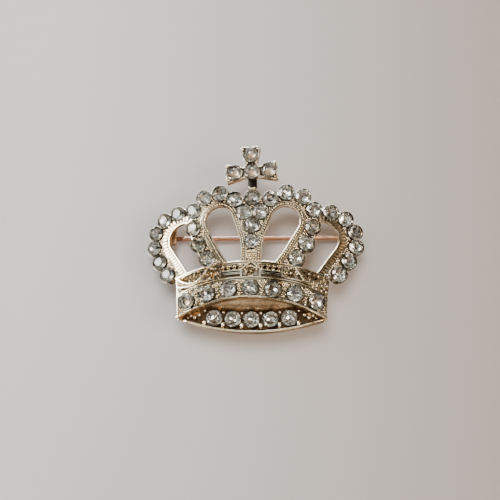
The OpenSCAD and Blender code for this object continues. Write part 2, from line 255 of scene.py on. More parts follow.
class Shape:
    """Collects closed shells, in layout millimetres, into the mesh of one piece."""

    def __init__(self):
        self.verts, self.faces, self.mats = [], [], []

    def add(self, verts, faces, mat=0, others=()):
        """Adds a shell, whose other faces have the material after mat."""
        base = len(self.verts)
        self.verts += verts
        self.faces += [tuple(base + i for i in f) for f in [*faces, *others]]
        self.mats += [mat] * len(faces) + [mat + 1] * len(others)

    @staticmethod
    def ring_faces(rings, n, closed=False):
        """Quads between rings of n points each."""
        faces = []
        for i in range(rings if closed else rings - 1):
            for j in range(n):
                a, b = i * n, ((i + 1) % rings) * n
                k = (j + 1) % n
                faces.append((a + j, a + k, b + k, b + j))
        return faces

    def loft(self, rings, mat=0, closed=False):
        """A skin over rings of points, capped at both ends unless it closes on itself."""
        n = len(rings[0])
        faces = self.ring_faces(len(rings), n, closed)
        if not closed:
            faces += [tuple(range(n)), tuple(len(rings) * n - 1 - k for k in range(n))]
        self.add([v for ring in rings for v in ring], faces, mat)

    def tube(self, surface, path, h, r, closed=False, sides=8, flat=1.0):
        """A wire along path, its middle h in front of the surface and flat times as high as wide."""
        pts = [surface(p[0], p[1], h) for p in path]
        n = len(pts)
        turns = [2 * math.pi * (s + 0.5) / sides for s in range(sides)]
        rings = []
        for i, c in enumerate(pts):
            a = pts[i - 1] if closed or i else c
            b = pts[(i + 1) % n] if closed or i < n - 1 else c
            t = (b - a).normalized()
            out = normal_at(surface, path[i][0], path[i][1], h)
            side = t.cross(out).normalized()
            up = side.cross(t).normalized()
            rings.append([c + r * (math.cos(w) * side + flat * math.sin(w) * up) for w in turns])
        self.loft(rings, closed=closed)

    def lathe(self, m, profile, sides, mat=0):
        """Turns profile, a list of (radius, height) that starts and ends on the axis."""
        verts = [m @ Vector((0, 0, profile[0][1]))]
        for r, h in profile[1:-1]:
            for s in range(sides):
                w = 2 * math.pi * s / sides
                verts.append(m @ Vector((r * math.cos(w), r * math.sin(w), h)))
        verts.append(m @ Vector((0, 0, profile[-1][1])))
        rings = len(profile) - 2
        last = 1 + rings * sides
        faces = [(0, 1 + (s + 1) % sides, 1 + s) for s in range(sides)]
        faces += [tuple(1 + i for i in f) for f in self.ring_faces(rings, sides)]
        top = 1 + (rings - 1) * sides
        faces += [(last, top + s, top + (s + 1) % sides) for s in range(sides)]
        self.add(verts, faces, mat)

    def bead(self, surface, x, z, h, r, squash=1.0):
        """A grain of metal on a surface, squash times as high as it is wide."""
        m = facing(surface, x, z, h)
        turns = [math.radians(a) for a in (-60, -25, 10, 45, 72)]
        side = [(r * math.cos(a), r * squash * math.sin(a)) for a in turns]
        self.lathe(m, [(0, -r * squash)] + side + [(0, r * squash)], sides=10)

    def beads(self, surface, path, step, h, r, squash=1.0):
        """A row of grains that differ a little in size."""
        for p in evenly(path, step):
            self.bead(surface, p[0], p[1], h, r * random.uniform(0.92, 1.06), squash)

    def plate(self, surface, loops, h_front, h_back, pitch, pits=()):
        """A plate with holes: the first loop is its outline, the others are its holes, and pits
        are the elliptical holes that cups fill, as (x, z, half width, half height)."""
        loops = [evenly(loop, pitch, True) for loop in loops]
        circle = arc((0, 0), 1, 0, 345, 23)
        rims = [[(x + rx * a, z + rz * b) for a, b in circle] for x, z, rx, rz in pits]
        points = [p for loop in loops + rims for p in loop]
        edges, start = [], 0
        for loop in loops + rims:
            n = len(loop)
            edges += [(start + i, start + (i + 1) % n) for i in range(n)]
            start += n

        def solid(p):
            """Whether the plate has metal at p."""
            if any(((p[0] - x) / rx) ** 2 + ((p[1] - z) / rz) ** 2 < 1 for x, z, rx, rz in pits):
                return False
            return inside(p, loops[:1]) and not any(inside(p, [hole]) for hole in loops[1:])

        xs, zs = [p[0] for p in points], [p[1] for p in points]
        nx = int((max(xs) - min(xs)) / pitch) + 1
        nz = int((max(zs) - min(zs)) / pitch) + 1
        for i in range(nx):
            for j in range(nz):
                p = (min(xs) + (i + 0.5 * (j % 2)) * pitch, min(zs) + j * pitch)
                near = min((p[0] - q[0]) ** 2 + (p[1] - q[1]) ** 2 for q in points[:start])
                if near > (0.6 * pitch) ** 2 and solid(p):
                    points.append(p)
        flat, _, tris, _, _, _ = delaunay_2d_cdt([Vector(p) for p in points], edges, [], 0, 1e-6)
        flat = [tuple(p) for p in flat]
        keep = []
        for t in tris:
            mid = (sum(flat[i][0] for i in t) / 3, sum(flat[i][1] for i in t) / 3)
            if solid(mid):
                keep.append(tuple(t))
        n = len(flat)
        verts = [surface(p[0], p[1], h) for h in (h_front, h_back) for p in flat]
        edges = {(a, b) for t in keep for a, b in zip(t, t[1:] + t[:1])}
        rest = [tuple(n + i for i in reversed(t)) for t in keep]
        rest += [(b, a, n + a, n + b) for a, b in sorted(edges) if (b, a) not in edges]
        self.add(verts, keep, 0, rest)

    def piece(self, name, materials, slot, body, nodes, smooth=True, edge=None):
        """The finished object, in metres in the row's frame."""
        mesh = bpy.data.meshes.new(name)
        mesh.from_pydata([(v - ORIGIN) * MM for v in self.verts], [], self.faces)
        for m in materials:
            mesh.materials.append(m)
        mesh.polygons.foreach_set("material_index", self.mats)
        mesh.validate()
        mesh.update()
        obj = bpy.data.objects.new(name, mesh)
        bpy.context.collection.objects.link(obj)
        if smooth:
            bpy.context.view_layer.objects.active = obj
            obj.select_set(True)
            bpy.ops.object.shade_smooth_by_angle(angle=math.radians(40))
            obj.select_set(False)
        if edge:
            soften(obj, edge, 50)
        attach(obj, body)
        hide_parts(*nodes)


def soften(obj, edge, degrees):
    """Bevels the edges that turn by more than an angle."""
    bevel = obj.modifiers.new("edges", "BEVEL")
    bevel.width = edge * MM
    bevel.segments = 2
    bevel.limit_method = "ANGLE"
    bevel.angle_limit = math.radians(degrees)


def facing(surface, x, z, h):
    """A matrix at a place on a surface, with +Z out of it and +Y up."""
    origin = surface(x, z, h)
    out = normal_at(surface, x, z, h)
    right = Vector((0, 0, 1)).cross(out).normalized()
    if surface is cross_plane:
        right = (surface(x + 1, z, h) - origin).normalized()
    up = out.cross(right)
    m = Matrix((right, up, out)).transposed().to_4x4()
    m.translation = origin
    return m


# ---------------------------------------------------------------- materials

def nodes_of(name):
    """A new material, its nodes, its links, its main shader and its object coordinates."""
    m = bpy.data.materials.new(name)
    m.use_nodes = True
    nodes = m.node_tree.nodes
    coords = nodes.new("ShaderNodeTexCoord").outputs["Object"]
    return m, nodes, m.node_tree.links, nodes["Principled BSDF"], coords


def noise(nodes, links, coords, scale, detail, stretch=None):
    """Soft random patches, from 0 to 1."""
    n = nodes.new("ShaderNodeTexNoise")
    n.inputs["Scale"].default_value = scale
    n.inputs["Detail"].default_value = detail
    if stretch:
        mapping = nodes.new("ShaderNodeMapping")
        mapping.inputs["Scale"].default_value = stretch
        links.new(coords, mapping.inputs["Vector"])
        links.new(mapping.outputs["Vector"], n.inputs["Vector"])
    else:
        links.new(coords, n.inputs["Vector"])
    return n.outputs["Fac"]


def ramp(nodes, links, fac, stops):
    """Turns a value into a colour, or into a grey where the stops are plain numbers."""
    r = nodes.new("ShaderNodeValToRGB")
    while len(r.color_ramp.elements) < len(stops):
        r.color_ramp.elements.new(0.5)
    for e, (pos, colour) in zip(r.color_ramp.elements, stops):
        e.position = pos
        e.color = (*colour, 1) if isinstance(colour, tuple) else (colour, colour, colour, 1)
    links.new(fac, r.inputs["Fac"])
    return r.outputs["Color"]


def mix(nodes, links, fac, a, b, mode="MIX"):
    """Mixes two colours, each of them a socket or a plain value."""
    m = nodes.new("ShaderNodeMix")
    m.data_type = "RGBA"
    m.blend_type = mode
    for socket, value in ((m.inputs[0], fac), (m.inputs[6], a), (m.inputs[7], b)):
        if isinstance(value, (int, float)):
            socket.default_value = value
        elif isinstance(value, tuple):
            socket.default_value = (*value, 1)
        else:
            links.new(value, socket)
    return m.outputs[2]


def plating(name, bright, dark, shade_colour, roughness, grain, grain_scale, reach, shade_stops):
    """Plated cast metal, with painted shade: bright on what stands out, and painted dull and brown in
    what lies deep, which is told from how much of the space within reach is open."""
    m, nodes, links, bsdf, coords = nodes_of(name)
    patches = noise(nodes, links, coords, 260, 4)
    tone = ramp(nodes, links, patches, [(0.35, bright), (0.7, dark)])
    # Painted shade: where little of the space within reach is open, the colour is painted dark and brown.
    ao = nodes.new("ShaderNodeAmbientOcclusion")
    ao.samples = 6
    ao.inputs["Distance"].default_value = reach * MM
    depth = ramp(nodes, links, ao.outputs["AO"], [(shade_stops[0], 0.0), (shade_stops[1], 1.0)])
    links.new(mix(nodes, links, depth, shade_colour, tone), bsdf.inputs["Base Color"])
    bsdf.inputs["Metallic"].default_value = 1.0
    fine = noise(nodes, links, coords, 1400, 3)
    gloss = ramp(nodes, links, fine, [(0.3, roughness[0]), (0.75, roughness[1])])
    links.new(gloss, bsdf.inputs["Roughness"])
    bump = nodes.new("ShaderNodeBump")
    bump.inputs["Strength"].default_value = 0.6
    bump.inputs["Distance"].default_value = grain * MM
    cells = nodes.new("ShaderNodeTexVoronoi")
    cells.inputs["Scale"].default_value = grain_scale
    links.new(coords, cells.inputs["Vector"])
    rough = noise(nodes, links, coords, 3200, 3)
    links.new(mix(nodes, links, 0.5, cells.outputs["Distance"], rough), bump.inputs["Height"])
    links.new(bump.outputs["Normal"], bsdf.inputs["Normal"])
    return m


def wire_metal(name):
    """Drawn wire: rose-brown, with fine marks along it."""
    m, nodes, links, bsdf, coords = nodes_of(name)
    marks = noise(nodes, links, coords, 1500, 4, stretch=(0.05, 1, 1))
    rose = ramp(nodes, links, marks, [(0.3, (0.74, 0.48, 0.38)), (0.7, (0.60, 0.37, 0.28))])
    links.new(rose, bsdf.inputs["Base Color"])
    links.new(ramp(nodes, links, marks, [(0.3, 0.16), (0.7, 0.34)]), bsdf.inputs["Roughness"])
    bsdf.inputs["Metallic"].default_value = 1.0
    bump = nodes.new("ShaderNodeBump")
    bump.inputs["Distance"].default_value = 0.01 * MM
    links.new(marks, bump.inputs["Height"])
    links.new(bump.outputs["Normal"], bsdf.inputs["Normal"])
    return m


def crystal(name):
    """The clear glass of a stone's crown."""
    m, nodes, links, bsdf, coords = nodes_of(name)
    tint = noise(nodes, links, coords, 160, 2)
    clear = ramp(nodes, links, tint, [(0.35, (0.93, 0.95, 0.89)), (0.65, (0.98, 0.94, 0.95))])
    links.new(clear, bsdf.inputs["Base Color"])
    worn = noise(nodes, links, coords, 2500, 2)
    links.new(ramp(nodes, links, worn, [(0.4, 0.0), (0.8, 0.05)]), bsdf.inputs["Roughness"])
    bsdf.inputs["Transmission Weight"].default_value = 1.0
    bsdf.inputs["IOR"].default_value = 1.56
    return m


def foil(name):
    """The silvered back of a stone, seen through its crown."""
    m, nodes, links, bsdf, coords = nodes_of(name)
    stain = noise(nodes, links, coords, 420, 3)
    silver = ramp(nodes, links, stain, [(0.35, (0.86, 0.86, 0.83)), (0.7, (0.42, 0.40, 0.36))])
    links.new(silver, bsdf.inputs["Base Color"])
    links.new(ramp(nodes, links, stain, [(0.35, 0.04), (0.7, 0.16)]), bsdf.inputs["Roughness"])
    bsdf.inputs["Metallic"].default_value = 1.0
    return m


POLISHED = plating("polished_plating", (0.95, 0.88, 0.71), (0.86, 0.70, 0.47), (0.05, 0.035, 0.02),
                   (0.08, 0.22), 0.006, 2600, 0.25, (0.05, 0.5))
# Painted shade and painted dark reflection: the plating painted dark for the cups' bezel rims.
BEZEL_SHADE = plating("bezel_painted_shade", (0.36, 0.32, 0.24), (0.19, 0.16, 0.11), (0.012, 0.009, 0.006),
                (0.06, 0.16), 0.004, 2600, 0.45, (0.3, 0.85))
# Painted shade: near-black plating for the cups' insides and for the beads and bars that stand for holes.
DEEP_SHADE = plating("deep_painted_shade", (0.05, 0.036, 0.022), (0.022, 0.016, 0.01), (0.004, 0.003, 0.002),
                   (0.3, 0.5), 0.05, 3300, 0.5, (0.3, 0.9))
# Painted shade: the plating painted darker on the casting's and band's plates, between grains, wires and
# stones.
FLOOR_SHADE = plating("floor_painted_shade", (0.40, 0.33, 0.23), (0.18, 0.13, 0.08), (0.012, 0.008, 0.005),
                (0.16, 0.34), 0.01, 2400, 0.35, (0.3, 0.8))
# Painted shade: the plating painted near-black for the neck's shaft under the cross, which lies in shade.
NECK_SHADE = plating("neck_painted_shade", (0.014, 0.012, 0.01), (0.007, 0.006, 0.005), (0.003, 0.003, 0.002),
                 (0.3, 0.5), 0.01, 2000, 0.4, (0.1, 0.6))
# Painted shade: the plating painted dark on the crescent's deep floor.
CRESCENT_SHADE = plating("crescent_painted_shade", (0.19, 0.145, 0.095), (0.085, 0.06, 0.037), (0.01, 0.007, 0.004),
                   (0.2, 0.4), 0.01, 2000, 0.4, (0.1, 0.7))
# Painted shade: the plating painted dark on the gallery's back plate and on the cross's plate between its
# stones.
NICHE_SHADE = plating("niche_painted_shade", (0.11, 0.066, 0.036), (0.05, 0.03, 0.016), (0.006, 0.004, 0.003),
                (0.2, 0.4), 0.01, 2000, 0.6, (0.1, 0.6))
# Painted shade: a darker, browner copy of the plating for window walls, backs, the cove, pads, hinge
# bracket and catch.
INNER_SHADE = plating("inner_painted_shade", (0.74, 0.54, 0.34), (0.42, 0.27, 0.15), (0.07, 0.04, 0.02),
                (0.2, 0.42), 0.03, 1800, 0.6, (0.05, 0.5))
WIRE = wire_metal("pin_plating")
GLASS = crystal("crystal_glass")
FOIL = foil("crystal_foil")
WITH_CUPS = [POLISHED, BEZEL_SHADE, DEEP_SHADE, INNER_SHADE]

# The slot of a cast piece, the body that it rides, and the CAD node that it replaces.
CASTING = ("gold_plating", "crown", ["crown_casting"])
STRIP = ("gold_plating", "crown", ["gallery_strip"])
FINIAL = ("gold_plating", "crown", ["cross_finial"])


# ---------------------------------------------------------------- where the stones sit

def seat_on_dome(node):
    """The girdle's middle and the axis of a stone of the dome, found from its CAD solid."""
    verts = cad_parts[node].data.vertices
    mid = sum((v.co for v in verts), Vector()) / len(verts) / MM + ORIGIN
    angle = math.atan2(mid.x, DOME_R - mid.y)
    out = GIRDLE_OUT + (BAND_PROUD if node in BAND else 0)
    return facing(dome, DOME_R * math.sin(angle), mid.z, out)


def seat_on_plane(node, y):
    """The same for a stone that faces straight forward at depth y."""
    lo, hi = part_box(node)
    mid = (Vector(lo) + Vector(hi)) / 2 / MM + ORIGIN
    return facing(upright(y), mid.x, mid.z, 0)


SEATS = {n: seat_on_dome(n) for n in ARCHES + BAND}
SEATS.update({n: seat_on_plane(n, GALLERY_GIRDLE_Y) for n in GALLERY})
SEATS.update({n: facing(cross_plane, x, z, CROSS_GIRDLE_OUT) for n, (x, z) in zip(CROSS, CROSS_AT)})
SIZE = {n: 1.0 for n in SEATS}
SIZE["post_stone_5"] = SMALL_STONE
SIZE.update({n: CROSS_STONE for n in CROSS})


# ---------------------------------------------------------------- stones

def ring_points(m, r, h, n, turn, stray=0.0):
    """n points round a ring, which stray a little from it, as hand-set cuts do."""
    out = []
    for i in range(n):
        a = 2 * math.pi / n * (i + turn)
        k = r * random.uniform(1 - stray, 1 + stray)
        up = h * random.uniform(1 - stray, 1 + stray)
        out.append(m @ Vector((k * math.cos(a), k * math.sin(a), up)))
    return out


def cut_stone(shape, m, s):
    """A round brilliant: table, stars, kites and girdle facets above, kites and halves below."""
    n = FACETS
    r = STONE_R * s
    table = ring_points(m, 0.54 * r, CROWN_H * s, n, 0)
    star = ring_points(m, 0.78 * r, 0.58 * CROWN_H * s, n, 0.5, 0.03)
    girdle = ring_points(m, r, 0.05, 2 * n, 0)
    under = ring_points(m, r, -0.1, 2 * n, 0)
    lower = ring_points(m, 0.5 * r, -0.7 * PAVILION_H * s, n, 0.5, 0.09)
    culet = [m @ Vector((0, 0, -PAVILION_H * s))]
    verts = table + star + girdle + under + lower + culet
    t, st, g, u, lo = 0, n, 2 * n, 4 * n, 6 * n
    c = 7 * n
    crown, pavilion = [tuple(range(n))], []
    for i in range(n):
        j = (i + 1) % n
        a, b, d = 2 * i, 2 * i + 1, (2 * i + 2) % (2 * n)
        crown += [(t + j, t + i, st + i), (st + i, g + a, g + b), (st + i, g + b, g + d)]
        crown += [(t + j, st + i, g + d), (t + j, g + d, st + j)]
        pavilion += [(g + a, u + a, u + b, g + b), (g + b, u + b, u + d, g + d)]
        pavilion += [(u + b, u + a, lo + i), (u + d, u + b, lo + i)]
        pavilion += [(lo + i, c, lo + j), (lo + i, lo + j, u + d)]
    shape.add(verts, crown, 0, pavilion)


def stones(name, nodes):
    """One piece for a group of stones, each with its own small tilt and turn."""
    shape = Shape()
    for node in nodes:
        m = SEATS[node].copy()
        tilt = Matrix.Rotation(math.radians(random.uniform(-2, 2)), 4, "X")
        turn = Matrix.Rotation(random.uniform(0, math.pi), 4, "Z")
        cut_stone(shape, m @ tilt @ turn, SIZE[node])
    shape.piece(name, [GLASS, FOIL], "crystal", "crown", nodes, smooth=False)


stones("scallop_stones_left", SCALLOP_L)
stones("scallop_stones_right", SCALLOP_R)
stones("rib_stones", RIBS)
stones("post_stones", POST)
stones("band_stones", BAND)
stones("gallery_stones", GALLERY)
stones("cross_stones", CROSS)


# ---------------------------------------------------------------- cups

def cup_profile(s, depth):
    """A bezel cup about its stone's girdle, closed at the back."""
    r = CUP_R * s
    i = STONE_R * s
    back = [(0, -depth), (r - 0.2, -depth), (r - 0.05, -depth + 0.1), (r, -depth + 0.3)]
    rim = [(r, -0.05), (r - 0.01, 0.04), (r - 0.035, 0.08), (r - 0.07, 0.07), (r - 0.09, 0.02)]
    return back + rim + [(i + 0.03, -0.1), (i - 0.02, -0.25), (i - 0.5, -0.9), (0, -1.3 * s)]


# How many steps of that profile are the cup's back, and its back and rim together.
BACK_STEPS = 3
RIM_STEPS = 8


def cup(shape, m, s, depth, bezel=1, dark=2, gold=3):
    """A cup: gold back and bezel-metal rim, both with painted shade, and an inside painted dark as shade.
    """
    profile = cup_profile(s, depth)
    sides = 40
    first = len(shape.faces)
    shape.lathe(m, profile, sides, bezel)
    for k in range(first, first + BACK_STEPS * sides):
        shape.mats[k] = gold
    for k in range(first + RIM_STEPS * sides, len(shape.faces)):
        shape.mats[k] = dark


# ---------------------------------------------------------------- the openwork casting

def window_loop(head, foot):
    """A window's edge: an arc over a foot, with its corners cut."""
    return evenly(rounded(head + foot, True), 0.25, True)


rib_side = arc(RIB_ROW_C, RIB_ROW_R + 0.9, -8, -44, 8)
inner_window = window_loop(arc(INNER_WINDOW_C, INNER_WINDOW_R, -28, 161, 24), INNER_FOOT)
outer_window = window_loop(arc(OUTER_WINDOW_C, OUTER_WINDOW_R, -38, 98, 24), rib_side + OUTER_FOOT)


def xz(node):
    """A dome stone's place in the layout."""
    p = SEATS[node].translation
    a = math.asin(p.x / (p.x ** 2 + (DOME_R - p.y) ** 2) ** 0.5)
    return (DOME_R * math.sin(a), p.z)


scallop = [xz(n) for n in SCALLOP_R]
foot = [(15.3, 7.9), (13.5, 8.5), (11, 9.3), (8, 10.05), (4, 10.75), (0, 10.95)]
outline = [(0, 24.3)] + scallop + foot
outline = outline + mirror(outline[1:-1])


def pit(node):
    """The hole under a stone's cup, a little smaller than the cup."""
    x, z = xz(node)
    r = PIT_R * SIZE[node]
    return (x, z, r * math.cos(math.asin(x / DOME_R)), r)


body = Shape()
windows = [inner_window, mirror(inner_window), outer_window, mirror(outer_window)]
wider = [offset(w, UNDERCUT) for w in (inner_window, outer_window)]
wider += [mirror(w) for w in wider]
arch_pits = [pit(n) for n in ARCHES]
body.plate(dome, [outline[::-1]] + windows, 0, -FRONT_T, 0.8, arch_pits)
body.plate(dome, [outline[::-1]] + wider, 0.05 - FRONT_T, -CAST_T, 0.9, arch_pits)


def band_line(c, r, x0, x1, n=40, lift=0.0):
    """A line over the band, from x0 to x1, on a circle."""
    xs = [x0 + (x1 - x0) * i / n for i in range(n + 1)]
    return [(x, over(c, r, x) + lift) for x in xs]


def dip(x):
    """How far the line between the crescent and the band's stones drops at x."""
    return MIDLINE_DIP * max(0, abs(x) - DIP_FROM_X)


def middle_line(x0, x1, n=40, lift=0.0):
    """The line between the crescent and the band's stones, which dips at its ends."""
    line = band_line(MIDLINE_C, MIDLINE_R, x0, x1, n, lift)
    return [(x, z - dip(x)) for x, z in line]


top_line = band_line(BAND_C, BAND_TOP_R, -15.6, 15.6)
low_line = band_line(BAND_LOW_C, BAND_LOW_R, -BAND_HALF_W, BAND_HALF_W)
mid_line = middle_line(-15.2, 15.2)
body.piece("casting_body", [FLOOR_SHADE, INNER_SHADE], *CASTING, edge=0.08)
band = Shape()
band.plate(dome, [low_line + mid_line[::-1]], FLOOR_H, -CAST_T + 0.6, 0.6, [pit(n) for n in BAND])
band.plate(dome, [low_line + mid_line[::-1]], -CAST_T + 0.65, -CAST_T - 0.2, 0.6)
band.piece("casting_band", [FLOOR_SHADE, INNER_SHADE], *CASTING, edge=0.08)
crescent = Shape()
crescent.plate(dome, [mid_line + top_line[::-1]], CRESCENT_H, -CAST_T - 0.2, 0.6)
crescent.piece("casting_crescent", [CRESCENT_SHADE, INNER_SHADE], *CASTING, edge=0.08)

cups = Shape()
for node in ARCHES:
    cup(cups, SEATS[node], SIZE[node], CAST_T + 0.1 + GIRDLE_OUT, 0, 1, 2)
for node in (BAND[0], BAND[-1]):
    cup(cups, SEATS[node], 1.0, 1.0, 0, 1, 2)
for node in BAND[1:-1]:
    cup(cups, SEATS[node] @ Matrix.Translation((0, 0, -0.16)), 0.97, 1.0, 0, 1, 2)
cups.piece("casting_cups", [BEZEL_SHADE, DEEP_SHADE, INNER_SHADE], *CASTING)


def above_band(loop):
    """The part of a closed loop that shows above the band, as an open line."""
    show = [p[1] > over(BAND_C, BAND_TOP_R, p[0]) - 0.1 for p in loop]
    first = next(i for i in range(len(loop)) if show[i] and not show[i - 1])
    turned = loop[first:] + loop[:first]
    return turned[:show.count(True)]


trim = Shape()
for flip in (False, True):
    side = mirror if flip else list
    inner = side(inner_window)
    outer = side(outer_window)
    trim.tube(dome, above_band(offset(inner, 0.13)), 0.02, 0.15, flat=1.7)
    trim.beads(dome, above_band(offset(inner, 0.55)), 0.52, 0.14, 0.2, squash=1.2)
    trim.tube(dome, above_band(offset(inner, 0.95)), 0.03, 0.11, flat=1.6)
    trim.tube(dome, above_band(offset(outer, 0.13)), 0.02, 0.14, flat=1.7)
    ribs = evenly(above_band(offset(outer, 0.5)), 0.62)
    for p, q in zip(ribs, offset(ribs, 0.8, False)):
        if p[0] * (-1 if flip else 1) > RIBBED_FROM_X:
            trim.tube(dome, [p, q], 0.08, 0.2, flat=1.4)

trim.tube(dome, offset(top_line, 0.15, False), 0.0, 0.19, flat=2.0)
trim.tube(dome, offset(top_line, 0.5, False), -0.15, 0.11, flat=2.5)
trim.tube(dome, middle_line(-14.95, 14.95), 0.1, 0.17, flat=1.8)
trim.tube(dome, middle_line(-14.9, 14.9, lift=-0.4), 0.08, 0.11, flat=1.8)
trim.tube(dome, offset(low_line, -0.22, False), 0.14, 0.24, flat=1.6)
band_end = [(14.85, 0.1), (14.95, 2.5), (15.05, 4.4), (15.2, 6.2), (15.35, 7.7)]
for s in (-1, 1):
    trim.tube(dome, evenly(sided(s, band_end), 0.5), 0.06, 0.13, flat=1.4)
trim.piece("casting_trim", [POLISHED], *CASTING)


# ---------------------------------------------------------------- filigree on the crescent

def scroll(c, r, start, spin):
    """The line of a spiral wire that winds in to c, counterclockwise where spin is 1."""
    out = []
    for i in range(17):
        t = i / 16
        a = math.radians(start) + spin * 2 * math.pi * SCROLL_TURNS * t
        k = r * (1 - 0.75 * t)
        out.append((c[0] + k * math.cos(a), c[1] + k * math.sin(a)))
    return out


filigree = Shape()
# Painted shade: near-black beads and bars that stand for the shade in holes.
hole_shades = Shape()
# What the crescent's wires and rings take up, as (x, z, radius), which the grains keep clear of.
wired = []


def wire(points, r, h=WIRE_H):
    """A wire of the crescent's openwork, taller than it is wide, which ends above the floor."""
    line = evenly(rounded(points, False), 0.22)
    filigree.tube(dome, line, h, r, flat=0.36 / r)
    wired.extend((x, z, r + 0.13) for x, z in line)


def ring(c, r, thick=0.1):
    """A ring of wire over a low bead on the crescent's floor, painted dark as the shade in a hole."""
    line = arc(c, r, 0, 337.5, 15)
    filigree.tube(dome, line, WIRE_H, thick, closed=True, sides=6, flat=0.32 / thick)
    hole_shades.bead(dome, c[0], c[1], CRESCENT_H + 0.06, r - 0.04, 0.4)
    wired.append((*c, r + 0.26))


def set_grains(points, r):
    """Single grains about r in radius."""
    for x, z in points:
        filigree.bead(dome, x, z, GRAIN_H, r * random.uniform(0.9, 1.1), 1.3)


def flower(c, reach, r, thick, heart):
    """Five rings round a bead."""
    for k in range(5):
        a = math.radians(90 + 72 * k)
        ring((c[0] + reach * math.cos(a), c[1] + reach * math.sin(a)), r, thick)
    filigree.bead(dome, c[0], c[1], FLOWER_H, heart)


def leaf(s):
    """The pointed leaf at one end of the crescent, with the ribbon that passes under it."""
    low = [(8.7, 9.85), (9.7, 8.3), (10.5, 7.35), (11.4, 6.85), (12.5, 6.6), (13.8, 6.9), (15.2, 7.75)]
    high = [(9.6, 9.35), (11.2, 9.0), (13.2, 8.5), (15.1, 7.95)]
    ribbon = [(7.2, 7.5), (9.0, 7.2), (10.6, 7.0), (12.0, 6.2), (13.6, 5.95), (14.95, 6.0)]
    wire(sided(s, low), 0.26, WIRE_H + 0.12)
    wire(sided(s, high), 0.1)
    wire(sided(s, ribbon), 0.18, WIRE_H + 0.06)
    for x, z, r in ((10.5, 8.75, 0.3), (11.2, 8.1, 0.36), (12.05, 7.95, 0.34), (12.85, 7.6, 0.34),
                    (13.75, 7.6, 0.27), (14.4, 7.75, 0.18)):
        ring((s * x, z), r)
    between = [(10.1, 8.25), (10.75, 7.5), (11.6, 7.35), (12.4, 7.1), (11.6, 8.6), (12.5, 8.3), (13.3, 8.1)]
    below = [(12.2, 5.95), (12.9, 5.55), (13.4, 5.95), (13.0, 6.3), (13.9, 5.25), (14.0, 6.3),
             (14.4, 5.6), (14.8, 5.0), (14.9, 6.2), (14.6, 6.7)]
    set_grains(sided(s, between), 0.15)
    set_grains(sided(s, below), 0.2)


def flower_cell(s):
    """A flower between four scrolls, with a wire at its inner side."""
    flower((s * 7.9, 8.55), 0.48, 0.25, 0.09, 0.2)
    for x, z, spin in ((6.9, 9.35, 1), (6.85, 7.75, -1), (9.05, 7.7, 1), (8.6, 9.55, -1)):
        wire(scroll((s * x, z), 0.36, 90, s * spin), 0.085)
    wire(sided(s, [(6.35, 10.1), (6.2, 9.2), (6.3, 8.3), (6.2, 7.4)]), 0.12)
    spots = [(7.2, 8.6), (7.55, 9.5), (7.5, 7.6), (8.3, 7.5), (8.7, 8.3), (8.0, 9.6), (9.3, 8.5)]
    set_grains(sided(s, spots), 0.17)


def slot_cell(s):
    """Three rings over two bars painted dark, which pass for the shade in holes over slots."""
    for x in (2.75, 3.9, 5.05):
        ring((s * x, 9.72 - 0.012 * x * x), 0.42, 0.12)
    spots = [(2.2, 9.95), (3.32, 10.1), (4.48, 9.95), (5.7, 9.7), (3.32, 9.25), (4.48, 9.1),
             (2.25, 9.3), (5.65, 8.95)]
    set_grains(sided(s, spots), 0.16)
    for lift, r in ((1.42, 0.11), (1.02, 0.1), (0.75, 0.1)):
        line = middle_line(-SLOTS_TO_X, SLOTS_TO_X, 48, lift)
        wire(sided(s, [p for p in line if SLOTS_FROM_X <= p[0] <= SLOTS_TO_X]), r)
    for lift in (1.22, 0.88):
        line = middle_line(-SLOTS_TO_X, SLOTS_TO_X, 48, lift)
        dark = sided(s, [p for p in line if 2.1 <= p[0] <= 5.9])
        hole_shades.tube(dome, dark, CRESCENT_H + 0.16, 0.16, sides=6)
    for x in (1.95, 6.05):
        wire([(s * x, 9.2), (s * x, 8.5), (s * x, 7.7)], 0.12)


def centre_cell():
    """A tent of two wires over a small flower."""
    for s in (-1, 1):
        wire(sided(s, [(0.1, 10.7), (0.75, 10.35), (1.5, 9.6), (2.2, 9.1)]), 0.18)
        wire(sided(s, [(1.75, 9.1), (1.7, 8.5), (1.85, 7.8)]), 0.12)
        wire(scroll((s * 1.15, 8.35), 0.36, 90, s), 0.085)
    flower((0, 8.95), 0.42, 0.23, 0.085, 0.18)
    spots = [(0, 10.0), (-0.6, 9.75), (0.6, 9.75), (-0.45, 8.1), (0.45, 8.1), (0, 7.98),
             (-1.2, 9.3), (1.2, 9.3)]
    set_grains(spots, 0.16)


centre_cell()
for s in (-1, 1):
    slot_cell(s)
    flower_cell(s)
    leaf(s)

# Claws between the band's stones, scrolls over them, and grains in what is left.
band_xz = [xz(n) for n in BAND]
for a, b in zip(band_xz, band_xz[1:]):
    mx, mz = (a[0] + b[0]) / 2, (a[1] + b[1]) / 2
    for dz, r in ((1.0, 0.24), (0.5, 0.16), (-0.95, 0.3)):
        filigree.bead(dome, mx, mz + dz, CLAW_H, r, 1.5)
    filigree.tube(dome, evenly([(mx, mz - 1.5), (mx, mz - 0.5)], 0.25), 0.2, 0.2, sides=6, flat=1.6)
    for dx in (-1, 1):
        line = scroll((mx + dx * 0.42, mz + 1.55), 0.34, -90, dx)
        filigree.tube(dome, line, 0.12, 0.09, sides=6, flat=2.2)
band_rims = [(x, z, BAND_RIM_R) for x, z in band_xz]


